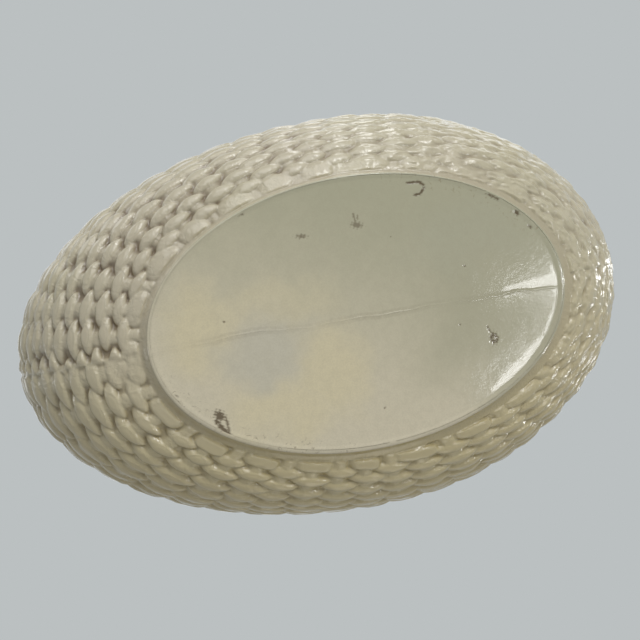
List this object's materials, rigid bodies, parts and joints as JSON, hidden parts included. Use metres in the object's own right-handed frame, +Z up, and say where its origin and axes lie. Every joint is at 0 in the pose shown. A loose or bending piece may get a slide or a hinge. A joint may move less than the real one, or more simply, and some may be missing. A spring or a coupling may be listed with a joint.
{
  "type": "goose tureen",
  "caption": "Lidded earthenware tureen: an egg-shaped basket-weave bowl on a flat oval foot, with a hollow sitting goose as its lid.",
  "frame": {"origin": "the middle of the oval foot's flat resting face", "axes": "+Z up through the lid, +X along the length towards the breast and beak, so that the tail is at -X"},
  "size_m": [0.3397, 0.2188, 0.284],
  "materials": {
    "bowl_glaze": "cream lead-type glaze, glossy, darker where it pools between the strands",
    "lid_glaze": "cream glaze, glossy, darker in the feather lines"
  },
  "bodies": {
    "bowl": {"basket_bowl": "bowl_glaze"},
    "lid": {"goose_lid": "lid_glaze"}
  },
  "joints": [
    {"name": "lid_lift", "type": "slide", "parent": "bowl", "child": "lid", "axis": [0, 0, 1], "range_m": [0, 0.12]}
  ]
}
